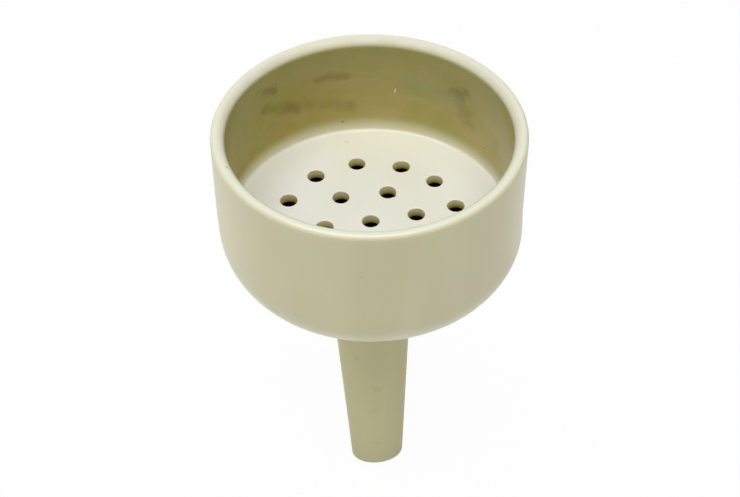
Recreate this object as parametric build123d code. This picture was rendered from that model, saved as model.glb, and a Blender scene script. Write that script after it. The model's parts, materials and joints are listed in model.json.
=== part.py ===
from build123d import *
from math import cos, radians, sin, tan
import os

# Filter funnel of glazed porcelain with a fixed perforated plate (Buchner pattern).
# It is fired as one piece. Millimetres and degrees, +Z up.
# The origin is the root of the stem, where the axis of the bowl and the axis of the stem cross.

# Bowl
rim_diameter = 63.0
lip_thickness = 2.9         # at the rim; below it the inside of the wall is upright
wall_draft = 1.05           # the outside narrows downwards by this angle
bowl_depth = 23.9           # from the rim down to the plate
lip_outer_radius = 1.0
lip_inner_radius = 1.5
plate_fillet = 0.8          # where the wall runs into the plate

# Underside of the bowl and the chamber that collects below the plate
corner_radius = 11.8        # outside, where the wall turns under
turn_rise = 0.4             # the outside starts to turn under this far above the plate
underside_slope = 20.0      # against the horizontal
underside_thickness = 2.6
root_fillet = 4.0           # outside, between the underside and the stem
chamber_bevel = 1.0         # inside, between the plate and the wall of the chamber

# Perforated plate
plate_thickness = 2.3
hole_diameter = 3.5
hole_mouth_bevel = 0.3      # eases the mouth of each hole
pattern_centre = (0.2, -0.6)    # the pattern was pierced slightly off the middle of the plate
inner_ring_radius = 9.6
outer_ring_radius = 18.2
# The holes were pierced by hand, so the steps round each ring are uneven.
inner_ring_angles = (12, 68, 130, 190, 250, 311)
outer_ring_angles = (14.5, 43, 69, 99, 129, 159, 190, 220, 251, 281, 312, 343)
chipped_hole_number = 2     # in the inner ring, counted from its first angle
chip_radius = 0.45
chip_angle = -32.0

# Stem
stem_root_diameter = 17.5
stem_tip_diameter = 11.4
stem_length = 56.0          # from its root to the middle of the tip, along its axis
stem_lean = 1.4             # its axis is this far out of line with the bowl, towards +X
bore_root_diameter = 12.2
bore_tip_diameter = 7.0
bore_mouth_radius = 1.2     # where the bore leaves the floor of the chamber
tip_bevel = 19.2            # the tip is cut at this angle to shed its drops
tip_short_side = -72.0      # direction of the short side of the tip, round the stem
tip_edge_radius = 0.5

# Sizes that follow from those above
rim_radius = rim_diameter / 2
foot_radius = rim_radius - (bowl_depth - turn_rise) * tan(radians(wall_draft))
bowl_inner_radius = rim_radius - lip_thickness
stem_root_radius = stem_root_diameter / 2
corner_centre_radius = foot_radius - corner_radius * cos(radians(wall_draft))
underside_start_radius = corner_centre_radius + corner_radius * sin(radians(underside_slope))
underside_rise = (underside_start_radius - stem_root_radius) * tan(radians(underside_slope))
corner_centre_height = underside_rise + corner_radius * cos(radians(underside_slope))
turn_start_height = corner_centre_height - corner_radius * sin(radians(wall_draft))
plate_top = turn_start_height - turn_rise
plate_bottom = plate_top - plate_thickness
rim_height = plate_top + bowl_depth
stem_frame = Rot(0, -stem_lean, 0)
reach = rim_diameter        # long enough for every cutting tool to pass right through


def section_point(radius, height):
    return (radius, 0, height)


def corner_point(radius, angle):
    """Point of the corner arc of the given radius, where its outward normal dips by angle."""
    across = corner_centre_radius + radius * cos(radians(angle))
    return section_point(across, corner_centre_height - radius * sin(radians(angle)))


def turned_shell(radius, top_radius, top_height):
    """Solid turned about the bowl's axis: a wall, the corner arc of this radius and the cone."""
    steepest = 90 - underside_slope
    start = corner_point(radius, wall_draft)
    middle = corner_point(radius, (wall_draft + steepest) / 2)
    end = corner_point(radius, steepest)
    apex = section_point(0, end[2] - end[0] * tan(radians(underside_slope)))
    wall = Polyline(section_point(0, top_height), section_point(top_radius, top_height), start)
    turn = ThreePointArc(start, middle, end)
    closing = Polyline(end, apex, section_point(0, top_height))
    return revolve(make_face([*wall.edges(), turn, *closing.edges()]), Axis.Z)


def bowl_cavity():
    """Space above the plate, with the rounding of its lower edge."""
    align = (Align.CENTER, Align.CENTER, Align.MIN)
    cavity = Pos(0, 0, plate_top) * Cylinder(bowl_inner_radius, reach, align=align)
    return fillet(cavity.edges().group_by(Axis.Z)[0], plate_fillet)


def chamber():
    """Space below the plate, which follows the outside at an even thickness."""
    inner_radius = corner_radius - underside_thickness
    space = turned_shell(inner_radius, corner_point(inner_radius, wall_draft)[0], rim_height)
    above = Cylinder(reach, reach, align=(Align.CENTER, Align.CENTER, Align.MIN))
    space = space - Pos(0, 0, plate_bottom) * above
    return chamfer(space.edges().group_by(Axis.Z)[-1], chamber_bevel)


def stem_cone(root_diameter, tip_diameter, above_root):
    """Tapered round bar on the stem's axis, past the tip and up to a height above the root."""
    taper = (root_diameter - tip_diameter) / 2 / stem_length
    below_tip = tip_diameter
    bottom_radius = tip_diameter / 2 - below_tip * taper
    top_radius = root_diameter / 2 + above_root * taper
    height = above_root + stem_length + below_tip
    bar = Cone(bottom_radius, top_radius, height, align=(Align.CENTER, Align.CENTER, Align.MIN))
    return stem_frame * Pos(0, 0, -stem_length - below_tip) * bar


def tip_cut():
    """Everything below the slanted end of the stem."""
    below = Box(reach, reach, reach, align=(Align.CENTER, Align.CENTER, Align.MAX))
    slant = Rot(0, 0, tip_short_side) * Rot(0, -tip_bevel, 0)
    return stem_frame * Pos(0, 0, -stem_length) * slant * below


def pierced_hole():
    """Tool for one hole of the plate, with its eased mouth at the plate's upper face."""
    bore = hole_diameter / 2
    below = -plate_thickness - hole_diameter
    outline = Polyline(
        section_point(0, 0),
        section_point(bore + hole_mouth_bevel, 0),
        section_point(bore, -hole_mouth_bevel),
        section_point(bore, below),
        section_point(0, below),
        close=True,
    )
    return revolve(make_face(outline), Axis.Z)


def ring_places(ring_radius, angles):
    across, along = pattern_centre
    return [
        (across + ring_radius * cos(radians(angle)), along + ring_radius * sin(radians(angle)))
        for angle in angles
    ]


def perforation():
    """All holes of the plate: one in the middle and two rings, with the chip of one mouth."""
    inner_ring = ring_places(inner_ring_radius, inner_ring_angles)
    outer_ring = ring_places(outer_ring_radius, outer_ring_angles)
    hole = pierced_hole()
    holes = [Pos(x, y, plate_top) * hole for x, y in [pattern_centre, *inner_ring, *outer_ring]]
    chipped_x, chipped_y = inner_ring[chipped_hole_number - 1]
    chip_x = chipped_x + hole_diameter / 2 * cos(radians(chip_angle))
    chip_y = chipped_y + hole_diameter / 2 * sin(radians(chip_angle))
    return [*holes, Pos(chip_x, chip_y, plate_top) * Sphere(chip_radius)]


def bore_edges(body):
    """Edges where the floor of the chamber falls away into the bore of the stem."""
    inside = body.edges().filter_by_position(Axis.Z, 0, plate_bottom, inclusive=(False, False))
    return [edge for edge in inside if edge.bounding_box().size.X < stem_root_diameter]


def funnel():
    body = turned_shell(corner_radius, rim_radius, rim_height)
    body += stem_cone(stem_root_diameter, stem_tip_diameter, underside_thickness)
    root_edge = body.edges().filter_by_position(Axis.Z, -underside_thickness, underside_thickness)
    body = fillet(root_edge, root_fillet)
    body -= bowl_cavity()
    body -= chamber()
    body -= stem_cone(bore_root_diameter, bore_tip_diameter, 2 * underside_thickness)
    body = fillet(bore_edges(body), bore_mouth_radius)
    lip_edges = body.edges().group_by(Axis.Z)[-1].sort_by(SortBy.RADIUS)
    body = fillet(lip_edges[-1], lip_outer_radius)
    body = fillet(body.edges().group_by(Axis.Z)[-1].sort_by(SortBy.RADIUS)[0], lip_inner_radius)
    body -= tip_cut()
    tip_face = body.faces().sort_by(Axis.Z)[0]
    body = fillet(tip_face.edges(), tip_edge_radius)
    body -= perforation()
    return body


os.makedirs("parts", exist_ok=True)
export_step(funnel(), "parts/funnel.step")
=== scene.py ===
import json
from math import cos, pi, radians, sin, tan
import bmesh
import bpy
from mathutils import Matrix, Vector

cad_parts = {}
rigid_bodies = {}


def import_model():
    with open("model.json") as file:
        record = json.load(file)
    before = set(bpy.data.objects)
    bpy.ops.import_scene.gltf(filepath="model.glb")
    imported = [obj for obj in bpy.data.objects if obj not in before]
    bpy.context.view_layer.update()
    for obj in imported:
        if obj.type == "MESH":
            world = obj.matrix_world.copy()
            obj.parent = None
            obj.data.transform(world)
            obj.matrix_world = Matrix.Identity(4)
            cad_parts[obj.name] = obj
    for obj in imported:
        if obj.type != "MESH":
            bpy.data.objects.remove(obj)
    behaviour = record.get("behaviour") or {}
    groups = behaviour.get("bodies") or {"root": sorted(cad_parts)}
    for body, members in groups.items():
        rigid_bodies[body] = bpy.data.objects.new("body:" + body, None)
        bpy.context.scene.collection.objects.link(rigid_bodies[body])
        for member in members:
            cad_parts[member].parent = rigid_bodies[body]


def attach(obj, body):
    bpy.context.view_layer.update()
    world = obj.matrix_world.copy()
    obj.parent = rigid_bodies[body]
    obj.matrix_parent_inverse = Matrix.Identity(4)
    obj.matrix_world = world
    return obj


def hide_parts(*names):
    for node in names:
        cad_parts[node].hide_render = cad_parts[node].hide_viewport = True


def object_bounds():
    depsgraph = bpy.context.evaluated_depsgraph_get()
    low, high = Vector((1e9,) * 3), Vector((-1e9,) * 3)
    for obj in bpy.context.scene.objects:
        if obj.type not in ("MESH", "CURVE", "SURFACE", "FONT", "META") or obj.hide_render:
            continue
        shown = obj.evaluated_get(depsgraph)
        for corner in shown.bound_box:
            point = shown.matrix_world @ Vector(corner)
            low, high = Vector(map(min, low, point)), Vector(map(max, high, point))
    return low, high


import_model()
cad_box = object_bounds()

# Camera: it stands above the front of the bowl and looks down past the lip onto the plate,
# from far enough away for the wall and the stem to keep nearly true proportions.
mm = 0.001
camera_data = bpy.data.cameras.new("camera")
camera = bpy.data.objects.new("camera", camera_data)
bpy.context.scene.collection.objects.link(camera)
camera_data.sensor_width = 36.0
camera_data.lens = 97.307
camera_data.clip_start = 0.01
camera_place = Vector((-0.016, -303.556, 292.539)) * mm
looking_down = 43.2075
leaning = -0.326
camera_tilt = Matrix.Rotation(radians(90 - looking_down), 4, "X")
camera_roll = Matrix.Rotation(radians(leaning), 4, "Z")
camera.matrix_world = Matrix.Translation(camera_place) @ camera_tilt @ camera_roll
bpy.context.scene.camera = camera

# Body of the funnel: bowl, chamber and stem are one piece of porcelain, turned on the wheel.
# The section below is walked once round, from the plate over the lip, down outside and back up
# the bore. Sizes are in millimetres.
rim_radius = 31.5
bowl_inner_radius = 28.6
wall_draft = radians(1.05)
lip_outer_radius = 1.0
lip_inner_radius = 1.85
plate_fillet = 0.8
corner_radius = 11.8
corner_centre = (19.2713, 16.3867)
underside_slope = radians(20)
underside_thickness = 2.6
root_fillet = 4.0
chamber_bevel = 1.0
stem_root_radius = 8.75
stem_tip_radius = 5.7
stem_length = 56.0
bore_root_radius = 6.1
bore_tip_radius = 3.5
bore_mouth_radius = 1.2
tip_edge_radius = 0.5
stem_lean = radians(1.4)
tip_bevel = radians(19.2)
tip_short_side = radians(-72)
slump = 0.35
rim_height = 39.6705
plate_top = 15.7705
plate_bottom = 13.4705
longest_step = 2.5
wall_slope = tan(wall_draft)
floor_slope = tan(underside_slope)


def meeting(wall_at_rim, floor_at_axis):
    """Where the drafted wall meets a sloping floor of the bowl."""
    radius = (wall_at_rim - (rim_height - floor_at_axis) * wall_slope) / (1 - floor_slope * wall_slope)
    return radius, floor_at_axis + radius * floor_slope


def stem_side(root_radius, tip_radius, floor_at_axis):
    """Where a side of the stem meets a floor of the bowl."""
    taper = (root_radius - tip_radius) / stem_length
    radius = (root_radius + floor_at_axis * taper) / (1 - floor_slope * taper)
    return radius, floor_at_axis + radius * floor_slope


outer_floor = -stem_root_radius * floor_slope
inner_floor = outer_floor + underside_thickness / cos(underside_slope)
outer_corner = meeting(rim_radius, outer_floor)
inner_corner = meeting(rim_radius - underside_thickness / cos(wall_draft), inner_floor)
inner_wall_at_plate = inner_corner[0] + (plate_top - inner_corner[1]) * wall_slope
body_corners = [  # radius, height, rounding, steps of the rounding
    (bowl_inner_radius - 2 * plate_fillet, plate_top, 0, 1),
    (bowl_inner_radius, plate_top, plate_fillet, 6),
    (bowl_inner_radius, rim_height, lip_inner_radius, 12),
    (rim_radius, rim_height, lip_outer_radius, 10),
    (*outer_corner, corner_radius, 32),
    (*stem_side(stem_root_radius, stem_tip_radius, outer_floor), root_fillet, 12),
    (stem_tip_radius, -stem_length, tip_edge_radius, 6),
    (bore_tip_radius, -stem_length, tip_edge_radius, 6),
    (*stem_side(bore_root_radius, bore_tip_radius, inner_floor), bore_mouth_radius, 6),
    (*inner_corner, corner_radius - underside_thickness, 14),
    (inner_wall_at_plate, plate_top, 0, 1),
]


def rounded(corners):
    """Points along a line whose corners (x, z, radius, steps) are rounded off."""
    points = []
    for number, (x, z, radius, steps) in enumerate(corners):
        here = Vector((x, z))
        if radius == 0 or number in (0, len(corners) - 1):
            points.append(here)
            continue
        back = (Vector(corners[number - 1][:2]) - here).normalized()
        ahead = (Vector(corners[number + 1][:2]) - here).normalized()
        half = back.angle(ahead) / 2
        centre = here + (back + ahead).normalized() * radius / sin(half)
        first = here + back * radius / tan(half) - centre
        turn = pi - 2 * half
        if first.x * back.y - first.y * back.x > 0:
            turn = -turn
        for step in range(steps + 1):
            angle = turn * step / steps
            across = first.x * cos(angle) - first.y * sin(angle)
            up = first.x * sin(angle) + first.y * cos(angle)
            points.append(centre + Vector((across, up)))
    return points


def filled_in(points, longest):
    """The same points, with more between those that lie far apart."""
    result = [points[0]]
    for start, end in zip(points, points[1:]):
        parts = max(1, round((end - start).length / longest))
        result += [start.lerp(end, part / parts) for part in range(1, parts + 1)]
    return result


def chamber_reach(height):
    """Radius of the chamber at a height of its rounded side."""
    side_radius = corner_radius - underside_thickness
    return corner_centre[0] + (side_radius ** 2 - (corner_centre[1] - height) ** 2) ** 0.5


# The plate closes the chamber before its side has finished turning upright.
bevel_start = plate_bottom - chamber_bevel
body_line = rounded(body_corners)
while body_line[-1].y > bevel_start:
    body_line.pop()
body_line += [Vector(point) for point in (
    (chamber_reach(bevel_start), bevel_start),
    (chamber_reach(plate_bottom) - chamber_bevel, plate_bottom),
    (chamber_reach(plate_bottom) - 2 * chamber_bevel, plate_bottom),
)]
body_line = filled_in(body_line, longest_step)
bore_start = max(n for n, p in enumerate(body_line) if p.y < tip_edge_radius / 2 - stem_length) + 1
# How deep inside a point lies: 0 on every outer face, rising up the bore to 1 in the chamber.
body_depth = [0.0] * bore_start + [min(1.0, 1 + p.y / stem_length) for p in body_line[bore_start:]]

# Perforated plate: it is cast into the bowl and pierced by hand while it is soft, with one hole
# in the middle and two rings round it. Each mouth is eased and then softened by the glaze.
hole_radius = 1.75
mouth_radius = 0.25
lower_mouth_radius = 0.1
hole_collars = (0.4, 0.2)   # flat rings round each mouth, which meet the plate's faces
pattern_centre = Vector((-0.05, -0.6))
inner_ring = (9.6, (12, 68, 130, 190, 250, 311))
outer_ring = (18.2, (14.5, 42.5, 69, 99, 129, 159, 190, 220, 251, 281, 312, 343))
hole_places = [pattern_centre] + [
    pattern_centre + Vector((radius * cos(radians(angle)), radius * sin(radians(angle))))
    for radius, angles in (inner_ring, outer_ring)
    for angle in angles
]
mouth_reach = hole_radius + mouth_radius
hole_line = filled_in(rounded([
    (mouth_reach + hole_collars[0], plate_top, 0, 1),
    (mouth_reach + hole_collars[1], plate_top, 0, 1),
    (hole_radius, plate_top, mouth_radius, 6),
    (hole_radius, plate_bottom, lower_mouth_radius, 3),
    (mouth_reach + hole_collars[0], plate_bottom, 0, 1),
]), mouth_radius)
hole_depth = [(plate_top - p.y) / (plate_top - plate_bottom) for p in hole_line]

line_mesh = bpy.data.meshes.new("funnel_lines")
line_points = [(p.x, 0, p.y) for p in body_line + hole_line] + [(p.x, p.y, 0) for p in hole_places]
line_mesh.from_pydata([[c * mm for c in point] for point in line_points], [], [])
line_kind = line_mesh.attributes.new("kind", "INT", "POINT")
line_kind.data.foreach_set(
    "value", [0] * len(body_line) + [1] * len(hole_line) + [2] * len(hole_places))
depth_inside = line_mesh.attributes.new("depth", "FLOAT", "POINT")
depth_inside.data.foreach_set("value", body_depth + hole_depth + [0.0] * len(hole_places))
body = bpy.data.objects.new("funnel_body", line_mesh)
bpy.context.scene.collection.objects.link(body)


def new_group(name, kind, inputs, outputs):
    tree = bpy.data.node_groups.new(name, kind)
    for direction, sockets in (("INPUT", inputs), ("OUTPUT", outputs)):
        for socket_name, socket_kind, value in sockets:
            socket = tree.interface.new_socket(socket_name, in_out=direction, socket_type=socket_kind)
            if value is not None:
                socket.default_value = value
    return tree, tree.nodes.new("NodeGroupInput").outputs, tree.nodes.new("NodeGroupOutput").inputs


def plug(tree, socket, value):
    """Give an input its value, or link another node's output to it."""
    if isinstance(value, bpy.types.NodeSocket):
        tree.links.new(value, socket)
    elif value is not None:
        socket.default_value = value


def add(tree, kind, *inputs, **settings):
    """New node: its settings, then its inputs in order, each a value, a socket or None."""
    node = tree.nodes.new(kind)
    for name, value in settings.items():
        setattr(node, name, value)
    live = [socket for socket in node.inputs if socket.enabled and not socket.is_unavailable]
    for socket, value in zip(live, inputs):
        plug(tree, socket, value)
    return node


def maths(tree, operation, *inputs):
    return add(tree, "ShaderNodeMath", *inputs, operation=operation).outputs[0]


def ramp(tree, value, low, high, from_value=0.0, to_value=1.0):
    """Smooth step of a value between two limits."""
    node = add(tree, "ShaderNodeMapRange", value, low, high, from_value, to_value,
               interpolation_type="SMOOTHSTEP")
    return node.outputs[0]


# One line of the section is swept round the axis on a grid: its rows are the points of the line.
turning, turning_in, turning_out = new_group(
    "turned_on_the_wheel", "GeometryNodeTree",
    [("Line", "NodeSocketGeometry", None), ("Segments", "NodeSocketInt", 96)],
    [("Mesh", "NodeSocketGeometry", None)],
)
line_count = add(turning, "GeometryNodeAttributeDomainSize", turning_in["Line"]).outputs["Point Count"]
columns = maths(turning, "ADD", turning_in["Segments"], 1.0)
clay_grid = add(turning, "GeometryNodeMeshGrid", 1.0, 1.0, line_count, columns).outputs["Mesh"]
grid_place = add(turning, "ShaderNodeSeparateXYZ", add(turning, "GeometryNodeInputPosition").outputs[0])
last_row = maths(turning, "SUBTRACT", line_count, 1.0)
row = maths(turning, "MULTIPLY", maths(turning, "ADD", grid_place.outputs["X"], 0.5), last_row)
column = maths(turning, "ADD", grid_place.outputs["Y"], 0.5)
column = maths(turning, "ROUND", maths(turning, "MULTIPLY", column, turning_in["Segments"]))
angle = maths(turning, "MULTIPLY", column, 2 * pi)
angle = maths(turning, "DIVIDE", angle, turning_in["Segments"])


def on_line(value, kind):
    node = add(turning, "GeometryNodeSampleIndex", data_type=kind, domain="POINT")
    turning.links.new(turning_in["Line"], node.inputs["Geometry"])
    turning.links.new(value, node.inputs["Value"])
    turning.links.new(maths(turning, "ROUND", row), node.inputs["Index"])
    return node.outputs["Value"]


line_place = on_line(add(turning, "GeometryNodeInputPosition").outputs[0], "FLOAT_VECTOR")
line_place = add(turning, "ShaderNodeSeparateXYZ", line_place)
line_depth = add(turning, "GeometryNodeInputNamedAttribute", "depth", data_type="FLOAT")
depth_there = on_line(line_depth.outputs["Attribute"], "FLOAT")
turned_x = maths(turning, "MULTIPLY", line_place.outputs["X"], maths(turning, "COSINE", angle))
turned_y = maths(turning, "MULTIPLY", line_place.outputs["X"], maths(turning, "SINE", angle))
turned_place = add(turning, "ShaderNodeCombineXYZ", turned_x, turned_y, line_place.outputs["Z"])
marked = add(turning, "GeometryNodeStoreNamedAttribute", clay_grid, None, "depth", depth_there,
             data_type="FLOAT", domain="POINT").outputs[0]
turned = add(turning, "GeometryNodeSetPosition", marked, None, turned_place.outputs[0])
turning.links.new(turned.outputs[0], turning_out["Mesh"])

making, making_in, making_out = new_group(
    "pierced_funnel", "GeometryNodeTree",
    [("Lines", "NodeSocketGeometry", None),
     ("Body segments", "NodeSocketInt", 240), ("Hole segments", "NodeSocketInt", 56),
     ("Plate top", "NodeSocketFloat", 0.0), ("Plate top radius", "NodeSocketFloat", 0.0),
     ("Plate bottom", "NodeSocketFloat", 0.0), ("Plate bottom radius", "NodeSocketFloat", 0.0),
     ("Hole mouth", "NodeSocketFloat", 0.0), ("Hole length", "NodeSocketFloat", 1.05),
     ("Unevenness", "NodeSocketFloat", 0.03), ("Seed", "NodeSocketInt", 7),
     ("Stem lean", "NodeSocketFloat", 0.0), ("Tip slope", "NodeSocketFloat", 0.0),
     ("Short side", "NodeSocketFloat", 0.0), ("Tip zone", "NodeSocketFloat", 0.0),
     ("Slump", "NodeSocketFloat", 0.0), ("Finish", "NodeSocketMaterial", None)],
    [("Mesh", "NodeSocketGeometry", None)],
)


def lines_of(kind):
    kinds = add(making, "GeometryNodeInputNamedAttribute", "kind", data_type="INT").outputs["Attribute"]
    chosen = add(making, "FunctionNodeCompare", data_type="INT", operation="EQUAL")
    plug(making, next(s for s in chosen.inputs if s.identifier == "A_INT"), kinds)
    plug(making, next(s for s in chosen.inputs if s.identifier == "B_INT"), kind)
    return add(making, "GeometryNodeSeparateGeometry", making_in["Lines"], chosen.outputs[0]).outputs[0]


def turn(line, segments):
    node = making.nodes.new("GeometryNodeGroup")
    node.node_tree = turning
    plug(making, node.inputs["Line"], line)
    plug(making, node.inputs["Segments"], segments)
    return node.outputs[0]


def joined(*parts):
    node = making.nodes.new("GeometryNodeJoinGeometry")
    for part in parts:
        making.links.new(part, node.inputs[0])
    return node.outputs[0]


holes = lines_of(2)
uneven_low = maths(making, "SUBTRACT", 1.0, making_in["Unevenness"])
uneven_high = maths(making, "ADD", 1.0, making_in["Unevenness"])


def at_each_hole(shape):
    """A copy of the shape at every hole, a little wider or narrower each way."""
    spreads = []
    for draw in (0.0, 1.0):
        seed = maths(making, "ADD", making_in["Seed"], draw)
        spread = add(making, "FunctionNodeRandomValue", uneven_low, uneven_high, None, seed,
                     data_type="FLOAT")
        spreads.append(spread.outputs["Value"])
    placed = making.nodes.new("GeometryNodeInstanceOnPoints")
    plug(making, placed.inputs["Points"], holes)
    plug(making, placed.inputs["Instance"], shape)
    spreads[1] = maths(making, "MULTIPLY", spreads[1], making_in["Hole length"])
    plug(making, placed.inputs["Scale"], add(making, "ShaderNodeCombineXYZ", *spreads, 1.0).outputs[0])
    return add(making, "GeometryNodeRealizeInstances", placed.outputs[0]).outputs[0]


def sheet_with_holes(radius, height, depth):
    """One flat face of the plate, with its depth inside the funnel marked on it."""
    circles = []
    for size, segments in (
        (radius, making_in["Body segments"]),
        (making_in["Hole mouth"], making_in["Hole segments"]),
    ):
        circle = add(making, "GeometryNodeCurvePrimitiveCircle", segments, mode="RADIUS")
        plug(making, circle.inputs["Radius"], size)
        circles.append(circle.outputs["Curve"])
    outlines = joined(circles[0], at_each_hole(circles[1]))
    filled = add(making, "GeometryNodeFillCurve", outlines).outputs[0]
    lifted = add(making, "ShaderNodeCombineXYZ", 0.0, 0.0, height).outputs[0]
    sheet = add(making, "GeometryNodeSetPosition", filled, None, None, lifted).outputs[0]
    return add(making, "GeometryNodeStoreNamedAttribute", sheet, None, "depth", depth,
               data_type="FLOAT", domain="POINT").outputs[0]


shell = turn(lines_of(0), making_in["Body segments"])
hole_sides = at_each_hole(turn(lines_of(1), making_in["Hole segments"]))
top_sheet = sheet_with_holes(making_in["Plate top radius"], making_in["Plate top"], 0.0)
bottom_sheet = sheet_with_holes(making_in["Plate bottom radius"], making_in["Plate bottom"], 1.0)
seam_gap = 0.002 * mm       # edges of the faces that come this near are one edge
whole = joined(shell, hole_sides, top_sheet, bottom_sheet)
whole = add(making, "GeometryNodeMergeByDistance", whole, None, seam_gap).outputs[0]

# The slanted cut of the tip, the lean of the stem, and the bowl's lower part, which sank a little
# to one side in the kiln. Each fades out between two heights.
tip_fade = (-1 * mm, 12 * mm)
lean_fade = (-4 * mm, 4 * mm)
slump_below = (3 * mm, 9 * mm)
slump_above = (11 * mm, 22 * mm)
place = add(making, "ShaderNodeSeparateXYZ", add(making, "GeometryNodeInputPosition").outputs[0])
above_tip = maths(making, "ADD", place.outputs["Z"], making_in["Tip zone"])
near_tip = ramp(making, above_tip, *tip_fade, 1.0, 0.0)
short_x = maths(making, "COSINE", making_in["Short side"])
short_y = maths(making, "SINE", making_in["Short side"])
towards_short = maths(making, "ADD", maths(making, "MULTIPLY", place.outputs["X"], short_x),
                      maths(making, "MULTIPLY", place.outputs["Y"], short_y))
tip_rise = maths(making, "MULTIPLY", towards_short, making_in["Tip slope"])
tip_rise = maths(making, "MULTIPLY", tip_rise, near_tip)
below_root = ramp(making, place.outputs["Z"], *lean_fade, -1.0, 0.0)
lean = maths(making, "MULTIPLY", place.outputs["Z"], maths(making, "TANGENT", making_in["Stem lean"]))
lean = maths(making, "MULTIPLY", lean, below_root)
sunk = maths(making, "MULTIPLY", ramp(making, place.outputs["Z"], *slump_below),
             ramp(making, place.outputs["Z"], *slump_above, 1.0, 0.0))
aside = maths(making, "ADD", lean, maths(making, "MULTIPLY", sunk, making_in["Slump"]))
shift = add(making, "ShaderNodeCombineXYZ", aside, 0.0, tip_rise).outputs[0]
formed = add(making, "GeometryNodeSetPosition", whole, None, None, shift).outputs[0]
smooth = add(making, "GeometryNodeSetShadeSmooth", formed).outputs[0]
real = add(making, "GeometryNodeRealizeInstances", smooth).outputs[0]
finished = add(making, "GeometryNodeSetMaterial", real)
plug(making, finished.inputs["Material"], making_in["Finish"])
making.links.new(finished.outputs[0], making_out["Mesh"])

porcelain = bpy.data.materials.new("glazed_porcelain")
maker = body.modifiers.new("pierced_funnel", "NODES")
maker.node_group = making
maker_sizes = {
    "Plate top": plate_top * mm, "Plate top radius": body_line[0].x * mm,
    "Plate bottom": plate_bottom * mm, "Plate bottom radius": body_line[-1].x * mm,
    "Hole mouth": hole_line[0].x * mm, "Stem lean": stem_lean, "Tip slope": tan(tip_bevel),
    "Short side": tip_short_side, "Tip zone": stem_length * mm, "Slump": slump * mm,
    "Finish": porcelain,
}
for socket in making.interface.items_tree:
    if socket.name in maker_sizes and socket.in_out == "INPUT":
        maker[socket.identifier] = maker_sizes[socket.name]
bpy.context.view_layer.update()
evaluated = body.evaluated_get(bpy.context.evaluated_depsgraph_get())
body_mesh = bpy.data.meshes.new_from_object(evaluated)
body.modifiers.remove(maker)
body.data = body_mesh

# A chip at the mouth of one hole of the inner ring: a small shell-shaped bite out of its edge.
chip_radius = 0.5 * mm
chip_distance = hole_radius + 0.12      # from the middle of the hole, in millimetres
chip_direction = radians(-37)
chip_hole = hole_places[2]
chip_depth = 1.5                        # as a share of the depth of a ball of that radius
chip_middle = Vector((
    (chip_hole.x + chip_distance * cos(chip_direction)) * mm,
    (chip_hole.y + chip_distance * sin(chip_direction)) * mm,
    plate_top * mm,
))
shape = bmesh.new()
shape.from_mesh(body_mesh)
near_chip = [v for v in shape.verts if (v.co - chip_middle).length < 2 * chip_radius]
near_edges = list({edge for vertex in near_chip for edge in vertex.link_edges})
bmesh.ops.subdivide_edges(shape, edges=near_edges, cuts=2, use_grid_fill=True)
for vertex in shape.verts:
    offset = vertex.co - chip_middle
    if offset.length < chip_radius:
        level = Vector((offset.x, offset.y, 0))
        drop = (chip_radius ** 2 - level.length_squared) ** 0.5
        vertex.co.z = min(vertex.co.z, chip_middle.z - chip_depth * drop)
bmesh.ops.recalc_face_normals(shape, faces=shape.faces[:])
open_edges = sum(1 for edge in shape.edges if not edge.is_manifold)
triangles = sum(len(face.verts) - 2 for face in shape.faces)
print("funnel body:", len(shape.verts), "points,", triangles, "triangles,", open_edges,
      "open edges, volume mm3", round(shape.calc_volume(signed=True) / mm ** 3))
shape.to_mesh(body_mesh)
shape.free()

# Glaze: one cream glaze, thin and glossy, over the white body, wiped nearly dry on the lip. Its
# colour holds painted light and shade: paler on the lit plate and at the foot of the wall, yellower
# on the shaded outside and stem, dark olive down the shaded inside of the wall, and darker into the
# holes, chamber and bore. Old filtrates have left brown smears on the wall.
# Painted light and shade: paler on the lit plate, yellower on the shaded outside and stem.
glaze_plate = (0.82, 0.82, 0.77)
glaze_outside = (0.78, 0.74, 0.47)
glaze_outside_warm = (0.78, 0.73, 0.48)
glaze_stem = (0.77, 0.73, 0.43)
# Painted shade: the inside of the wall, dark olive, lighter and greyer where painted light falls.
glaze_wall = (0.37, 0.28, 0.03)
glaze_wall_olive = (0.37, 0.35, 0.05)
glaze_wall_grey = (0.50, 0.42, 0.16)
glaze_wall_top = (0.39, 0.37, 0.12)
# Painted light at the foot of the inside wall, as bounced off the plate; also used for the plate's
# patches.
glaze_foot = (0.76, 0.74, 0.52)
lip_cream = (0.81, 0.82, 0.65)
lip_bare = (0.77, 0.725, 0.57)
# Painted shade in the holes, chamber and bore: yellow high on the holes' sides, then brown, then nearly
# black.
recess_painted_shade = (0.012, 0.006, 0.002)
hole_side = (0.90, 0.84, 0.50)
hole_painted_shade = (0.44, 0.34, 0.03)
smear_brown = (0.24, 0.17, 0.03)
smear_olive = (0.27, 0.24, 0.03)
smear_pink = (0.52, 0.37, 0.17)
smear_grey = (0.36, 0.37, 0.18)
# Painted glint: a small highlight on the back of the inside wall.
painted_glint = (0.90, 0.84, 0.74)


def vectors(tree, operation, *inputs):
    node = add(tree, "ShaderNodeVectorMath", *inputs, operation=operation)
    return node.outputs["Value" if operation in ("LENGTH", "DISTANCE", "DOT_PRODUCT") else "Vector"]


def blend_colour(tree, mask, first, second):
    node = tree.nodes.new("ShaderNodeMix")
    node.data_type = "RGBA"
    for name, value in (("Factor_Float", mask), ("A_Color", first), ("B_Color", second)):
        colour = (*value, 1.0) if isinstance(value, tuple) else value
        plug(tree, next(s for s in node.inputs if s.identifier == name), colour)
    return next(s for s in node.outputs if s.identifier == "Result_Color")


def use_group(tree, group, *inputs):
    node = tree.nodes.new("ShaderNodeGroup")
    node.node_tree = group
    for socket, value in zip(node.inputs, inputs):
        plug(tree, socket, value)
    return node.outputs[0]


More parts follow.
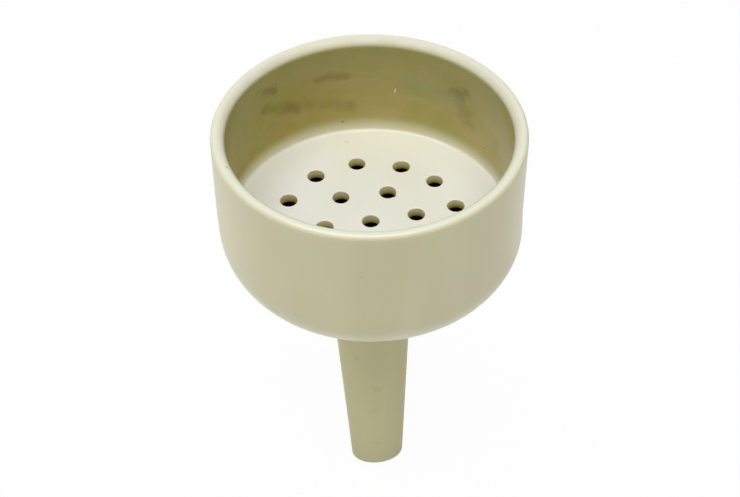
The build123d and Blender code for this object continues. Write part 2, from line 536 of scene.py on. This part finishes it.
clouding, clouding_in, clouding_out = new_group(
    "glaze_clouding", "ShaderNodeTree",
    [("Place", "NodeSocketVector", None), ("Stretch", "NodeSocketVector", (1.0, 1.0, 1.0)),
     ("Scale", "NodeSocketFloat", 60.0), ("Detail", "NodeSocketFloat", 3.0),
     ("Low", "NodeSocketFloat", 0.35), ("High", "NodeSocketFloat", 0.65)],
    [("Mask", "NodeSocketFloat", None)],
)
cloud_place = vectors(clouding, "MULTIPLY", clouding_in["Place"], clouding_in["Stretch"])
cloud_noise = add(clouding, "ShaderNodeTexNoise", cloud_place, clouding_in["Scale"],
                  clouding_in["Detail"])
cloud_mask = ramp(clouding, cloud_noise.outputs[0], clouding_in["Low"], clouding_in["High"])
clouding.links.new(cloud_mask, clouding_out["Mask"])

# A smear runs from one place to another, fades over its width and is broken up by a fine noise.
smearing, smearing_in, smearing_out = new_group(
    "smear", "ShaderNodeTree",
    [("Place", "NodeSocketVector", None), ("Start", "NodeSocketVector", None),
     ("End", "NodeSocketVector", None), ("Width", "NodeSocketFloat", 0.001),
     ("Strength", "NodeSocketFloat", 0.5), ("Breakup", "NodeSocketFloat", 0.5)],
    [("Mask", "NodeSocketFloat", None)],
)
smear_run = vectors(smearing, "SUBTRACT", smearing_in["End"], smearing_in["Start"])
smear_offset = vectors(smearing, "SUBTRACT", smearing_in["Place"], smearing_in["Start"])
smear_along = maths(smearing, "DIVIDE", vectors(smearing, "DOT_PRODUCT", smear_offset, smear_run),
                    vectors(smearing, "DOT_PRODUCT", smear_run, smear_run))
smear_along = add(smearing, "ShaderNodeClamp", smear_along, 0.0, 1.0).outputs[0]
smear_nearest = add(smearing, "ShaderNodeVectorMath", smear_run, operation="SCALE")
plug(smearing, smear_nearest.inputs["Scale"], smear_along)
smear_gap = vectors(smearing, "DISTANCE", smear_offset, smear_nearest.outputs[0])
smear_gap = maths(smearing, "DIVIDE", smear_gap, smearing_in["Width"])
smear_grain = 500.0
smear_detail = 3.0
smear_noise = add(smearing, "ShaderNodeTexNoise", smearing_in["Place"], smear_grain, smear_detail)
smear_shift = maths(smearing, "SUBTRACT", smear_noise.outputs[0], 0.5)
smear_shift = maths(smearing, "MULTIPLY", smear_shift, smearing_in["Breakup"])
smear_edge = ramp(smearing, maths(smearing, "ADD", smear_gap, smear_shift), 0.0, 1.0, 1.0, 0.0)
smear_mask = maths(smearing, "MULTIPLY", smear_edge, smearing_in["Strength"])
smearing.links.new(smear_mask, smearing_out["Mask"])

porcelain.use_nodes = True
glaze = porcelain.node_tree
surface = glaze.nodes["Principled BSDF"]
place = add(glaze, "ShaderNodeTexCoord").outputs["Object"]
xyz = add(glaze, "ShaderNodeSeparateXYZ", place)
height = xyz.outputs["Z"]
from_axis = vectors(glaze, "LENGTH", vectors(glaze, "MULTIPLY", place, (1.0, 1.0, 0.0)))


def rises(value, low, high):
    """1 above the higher of two levels, 0 below the lower one; both in millimetres."""
    return ramp(glaze, value, low * mm, high * mm)


def falls(value, low, high):
    return ramp(glaze, value, low * mm, high * mm, 1.0, 0.0)


# Patterns of the glaze: stretch, scale, detail, and the two levels between which each one rises.
broad = use_group(glaze, clouding, place, None, 45.0, 2.0, 0.3, 0.7)
patches = use_group(glaze, clouding, place, (1.0, 1.0, 1.6), 95.0, 3.0, 0.36, 0.66)
mottled = use_group(glaze, clouding, place, (1.0, 1.0, 1.0), 260.0, 3.0, 0.42, 0.62)
wheel_marks = use_group(glaze, clouding, place, (0.12, 0.12, 1.0), 420.0, 2.0, 0.3, 0.7)
runs = use_group(glaze, clouding, place, (1.0, 1.0, 0.15), 110.0, 1.0, 0.28, 0.75)

# Outside: the wall, its turn under the bowl and the stem, which is painted a little yellower as shade
# under the bowl.
tone = blend_colour(glaze, broad, glaze_outside, glaze_outside_warm)
stem_zone = falls(height, -3.0, 2.0)
tone = blend_colour(glaze, stem_zone, tone, glaze_stem)
faint = maths(glaze, "MULTIPLY", runs, 0.14)
tone = blend_colour(glaze, faint, tone, glaze_wall_grey)

# Inside of the wall: painted shade, dark olive, greyer near the lip. Painted light makes it greyer
# and lighter to the right and paler at its foot.
foot_height = 4.4
to_the_right = rises(xyz.outputs["X"], -29.0, 10.0)
painted_light_right = maths(glaze, "MULTIPLY", to_the_right, 0.85)
wall_tone = blend_colour(glaze, painted_light_right, glaze_wall, glaze_wall_grey)
olive_patches = maths(glaze, "MULTIPLY", patches, 0.7)
wall_tone = blend_colour(glaze, olive_patches, wall_tone, glaze_wall_olive)
high_on_wall = maths(glaze, "MULTIPLY", rises(height, plate_top + 9, rim_height - 1), 0.8)
wall_tone = blend_colour(glaze, high_on_wall, wall_tone, glaze_wall_top)
in_lines = maths(glaze, "MULTIPLY", wheel_marks, 0.25)
wall_tone = blend_colour(glaze, in_lines, wall_tone, glaze_wall_olive)
in_spots = maths(glaze, "MULTIPLY", mottled, 0.18)
wall_tone = blend_colour(glaze, in_spots, wall_tone, smear_pink)
# Painted light: the foot of the wall paler, as lit by the plate.
painted_light_at_foot = falls(height, plate_top, plate_top + foot_height)
wall_tone = blend_colour(glaze, painted_light_at_foot, wall_tone, glaze_foot)
in_bowl = maths(glaze, "MULTIPLY", falls(from_axis, bowl_inner_radius + 0.3, bowl_inner_radius + 0.8),
                rises(height, plate_top + 0.05, plate_top + 0.6))
tone = blend_colour(glaze, in_bowl, tone, wall_tone)

# Plate, painted paler as lit from above, with the glaze slightly greyer in patches.
on_plate = maths(glaze, "MULTIPLY", falls(from_axis, bowl_inner_radius - 0.2, bowl_inner_radius + 0.3),
                 falls(height, plate_top + 0.1, plate_top + 0.7))
on_plate = maths(glaze, "MULTIPLY", on_plate, rises(height, plate_bottom, plate_top))
plate_tone = blend_colour(glaze, maths(glaze, "MULTIPLY", broad, 0.35), glaze_plate, glaze_foot)
tone = blend_colour(glaze, on_plate, tone, plate_tone)

# Lip: the glaze was wiped off its inner half, which fired slightly pink and rough.
on_lip = rises(height, rim_height - lip_inner_radius, rim_height - lip_inner_radius / 3)
bare_band = (rim_radius - 2.1, rim_radius - 0.9)
bare = maths(glaze, "MULTIPLY", falls(from_axis, *bare_band), on_lip)
speckled = use_group(glaze, clouding, place, (1.0, 1.0, 1.0), 260.0, 2.0, 0.3, 0.7)
bare = maths(glaze, "MULTIPLY", bare, ramp(glaze, speckled, 0.0, 1.0, 0.7, 1.0))
bare = maths(glaze, "MULTIPLY", bare, rises(xyz.outputs["Y"], -22.0, 4.0))
lip_tone = blend_colour(glaze, bare, lip_cream, lip_bare)
on_top = ramp(glaze, falls(from_axis, rim_radius - 0.8, rim_radius - 0.1), 0.0, 1.0, 0.2, 1.0)
tone = blend_colour(glaze, maths(glaze, "MULTIPLY", on_lip, on_top), tone, lip_tone)

# Marks that use has left: start, end, width (mm), strength, break-up and colour of each. Those in
# the bowl end within the wall, so they don't show outside.
within_wall = falls(from_axis, rim_radius - 1.8, rim_radius - 1.1)
for start, end, width, strength, breakup, colour in (
    ((-21.6, 18.6, 29.6), (-15.6, 23.9, 25.4), 2.0, 0.75, 1.6, smear_olive),
    ((-17.5, 22.6, 26.6), (-3.6, 28.4, 22.4), 2.5, 0.38, 1.5, smear_brown),
    ((-10.8, 26.5, 31.2), (-5.0, 28.2, 30.8), 1.7, 0.5, 1.4, smear_brown),
    ((-21.5, 18.8, 34.2), (-19.6, 20.8, 33.0), 1.6, 0.65, 1.5, smear_brown),
    ((-19.4, 21.1, 34.3), (-19.1, 21.2, 34.4), 0.5, 0.5, 0.4, smear_brown),
    ((8.3, 27.4, 31.7), (11.8, 26.1, 31.9), 0.5, 0.6, 0.5, smear_grey),
    ((12.0, 26.0, 32.6), (14.9, 24.4, 31.9), 2.6, 0.3, 0.9, smear_pink),
    ((17.8, 22.4, 30.8), (20.1, 20.3, 32.2), 2.2, 0.6, 1.8, smear_brown),
    ((18.6, 21.7, 29.4), (20.7, 19.7, 25.0), 3.4, 0.38, 2.6, smear_brown),
    ((9.1, 27.1, 29.0), (18.0, 22.2, 28.8), 4.0, 0.45, 0.8, smear_grey),
    # Not a mark of use: a painted glint on the back of the wall.
    ((5.6, 28.1, 27.3), (5.4, 28.1, 26.4), 0.28, 0.8, 0.4, painted_glint),
    ((6.6, 27.8, 26.8), (8.7, 27.2, 27.3), 0.5, 0.4, 0.6, smear_pink),
    ((-5.9, 28.0, 18.5), (-5.5, 28.0, 18.5), 0.35, 0.8, 0.2, smear_brown),
    ((23.8, 15.9, 21.2), (24.0, 15.7, 21.3), 0.35, 0.8, 0.2, smear_brown),
    ((-5.1, 24.6, 15.8), (-4.6, 24.6, 15.8), 0.5, 0.25, 0.3, smear_olive),
    ((-27.7, -11.0, 39.5), (-27.4, -11.2, 39.5), 0.35, 0.6, 0.3, smear_brown),
    ((-19.8, -23.2, 13.1), (-18.6, -24.0, 13.0), 1.1, 0.35, 1.0, smear_pink),
    ((-14.5, -26.8, 15.4), (-13.9, -27.0, 15.4), 0.8, 0.35, 0.8, smear_pink),
    ((-1.8, -31.1, 29.1), (-1.5, -31.1, 29.1), 0.4, 0.3, 0.5, smear_grey),
    ((0.4, -7.3, -27.2), (1.7, -7.0, -28.1), 1.1, 0.12, 0.8, smear_grey),
    ((-3.3, -7.0, -17.9), (-2.9, -7.1, -18.2), 1.3, 0.12, 0.8, smear_olive),
    ((0.8, -6.8, -35.2), (1.3, -6.8, -35.2), 1.1, 0.1, 0.8, smear_grey),
    ((1.0, -6.1, -46.8), (1.4, -6.1, -46.8), 1.2, 0.1, 0.8, smear_grey),
):
    ends = [tuple(c * mm for c in point) for point in (start, end)]
    mask = use_group(glaze, smearing, place, *ends, width * mm, strength, breakup)
    if Vector(start[:2]).length < rim_radius - 2.0:
        mask = maths(glaze, "MULTIPLY", mask, within_wall)
    tone = blend_colour(glaze, mask, tone, colour)

# Holes, chamber and bore: painted shade, browner and darker the further in, nearly black in the
# chamber.
depth = add(glaze, "ShaderNodeAttribute", attribute_type="GEOMETRY", attribute_name="depth")
depth = depth.outputs["Fac"]
tone = blend_colour(glaze, ramp(glaze, depth, 0.04, 0.3), tone, hole_side)
tone = blend_colour(glaze, ramp(glaze, depth, 0.25, 0.95), tone, hole_painted_shade)
tone = blend_colour(glaze, ramp(glaze, depth, 0.8, 1.0), tone, recess_painted_shade)
# Painted shade in the chip's bite, nearly black.
from_chip = vectors(glaze, "DISTANCE", place, tuple(chip_middle))
chip_painted_shade = maths(glaze, "MULTIPLY", falls(from_chip, 0.4, 0.6), 0.9)
tone = blend_colour(glaze, chip_painted_shade, tone, recess_painted_shade)
plug(glaze, surface.inputs["Base Color"], tone)

# The gloss is that of the glaze's clear skin over a matt body. It is thinner on the stem, wiped
# off the bare half of the lip, etched by use on the left of the wall, and gone deep in the holes,
# the chamber and the bore.
dull = maths(glaze, "MAXIMUM", maths(glaze, "MULTIPLY", bare, 0.8), ramp(glaze, depth, 0.1, 0.9))
glossy, matt = 0.3, 0.75
roughness = ramp(glaze, dull, 0.0, 1.0, glossy, matt)
roughness = maths(glaze, "ADD", roughness, maths(glaze, "MULTIPLY", mottled, 0.06))
plug(glaze, surface.inputs["Roughness"], roughness)
thinned = maths(glaze, "MAXIMUM", dull, maths(glaze, "MULTIPLY", stem_zone, 0.6))
etched = maths(glaze, "MULTIPLY", in_bowl, ramp(glaze, to_the_right, 0.0, 1.0, 0.32, 0.05))
thinned = maths(glaze, "MAXIMUM", thinned, etched)
plug(glaze, surface.inputs["Coat Weight"], ramp(glaze, thinned, 0.0, 1.0, 1.0, 0.0))
surface.inputs["Coat Roughness"].default_value = glossy
surface.inputs["Coat IOR"].default_value = 1.5
surface.inputs["Specular IOR Level"].default_value = 0.0
surface.inputs["IOR"].default_value = 1.5
relief = maths(glaze, "ADD", broad, maths(glaze, "MULTIPLY", wheel_marks, 0.3))
relief = maths(glaze, "ADD", relief, maths(glaze, "MULTIPLY", mottled, 0.12))
bump = glaze.nodes.new("ShaderNodeBump")
bump.inputs["Strength"].default_value = 0.3
bump.inputs["Distance"].default_value = 0.2 * mm
plug(glaze, bump.inputs["Height"], relief)
plug(glaze, surface.inputs["Normal"], bump.outputs["Normal"])

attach(body, "root")
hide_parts("funnel")

# Floor: a plain white table just under the tip. The camera sees it nearly as bright as the
# backdrop, with the funnel's soft shadow kept on it.
floor_reach = 4.0
floor_gap = 0.1 * mm
floor_white = (0.9, 0.9, 0.9, 1)
floor_whitened = 0.97
floor_mesh = bpy.data.meshes.new("floor")
floor_height = cad_box[0][2] - floor_gap
floor_corners = [
    (x * floor_reach, y * floor_reach, floor_height) for x, y in ((-1, -1), (1, -1), (1, 1), (-1, 1))
]
floor_mesh.from_pydata(floor_corners, [], [(0, 1, 2, 3)])
floor = bpy.data.objects.new("floor", floor_mesh)
bpy.context.scene.collection.objects.link(floor)
floor_paint = bpy.data.materials.new("floor_paint")
floor_paint.use_nodes = True
painted = floor_paint.node_tree
paint = painted.nodes["Principled BSDF"]
paint.inputs["Base Color"].default_value = floor_white
paint.inputs["Roughness"].default_value = 0.9
floor_mesh.materials.append(floor_paint)


def seen_directly(tree):
    """1 for what the camera sees, straight or in a reflection or through glass."""
    ray = add(tree, "ShaderNodeLightPath").outputs
    straight = maths(tree, "MAXIMUM", ray["Is Camera Ray"], ray["Is Glossy Ray"])
    return maths(tree, "MAXIMUM", straight, ray["Is Transmission Ray"])


glow = add(painted, "ShaderNodeEmission", (1, 1, 1, 1), 1.0)
whitening = maths(painted, "MULTIPLY", seen_directly(painted), floor_whitened)
whitened = add(painted, "ShaderNodeMixShader", whitening)
painted.links.new(paint.outputs[0], whitened.inputs[1])
painted.links.new(glow.outputs[0], whitened.inputs[2])
painted.links.new(whitened.outputs[0], painted.nodes["Material Output"].inputs["Surface"])

# Light: one wide soft panel overhead, a little in front, in a pale room. Two low lamps beside the
# funnel face away from it and brighten the table, which fills its sides and underside. A third,
# weak one faces it from the left, a little behind, and catches its left edge.
room_light = 0.15
room = bpy.data.worlds.new("room")
bpy.context.scene.world = room
room.use_nodes = True
air = room.node_tree
air_strength = ramp(air, seen_directly(air), 0.0, 1.0, room_light, 1.0)
plug(air, air.nodes["Background"].inputs["Color"], (1, 1, 1, 1))
plug(air, air.nodes["Background"].inputs["Strength"], air_strength)


def soft_lamp(name, size, energy, place, facing):
    """Rectangular lamp: its back is turned to the direction that it is given."""
    lamp_data = bpy.data.lights.new(name, "AREA")
    lamp_data.shape = "RECTANGLE"
    lamp_data.size, lamp_data.size_y = size
    lamp_data.energy = energy
    lamp = bpy.data.objects.new(name, lamp_data)
    bpy.context.scene.collection.objects.link(lamp)
    turned = facing.to_track_quat("Z", "Y").to_matrix().to_4x4()
    lamp.matrix_world = Matrix.Translation(place) @ turned
    return lamp


panel_place = Vector((-0.05, -0.18, 0.76))
soft_lamp("panel", (0.8, 0.6), 6.0, panel_place, panel_place)
card_size = (0.5, 0.1)
card_height = cad_box[0][2] + card_size[1] / 2
for x, y, back, energy in ((-0.35, 0.0, -1, 1.6), (0.35, 0.0, -1, 1.0), (-0.35, 0.22, 1, 0.17)):
    card_place = Vector((x, y, card_height))
    card = soft_lamp("low_card", card_size, energy, card_place, Vector((x, y, 0)) * back)
    card.visible_camera = False
bpy.context.scene.view_settings.view_transform = "Standard"
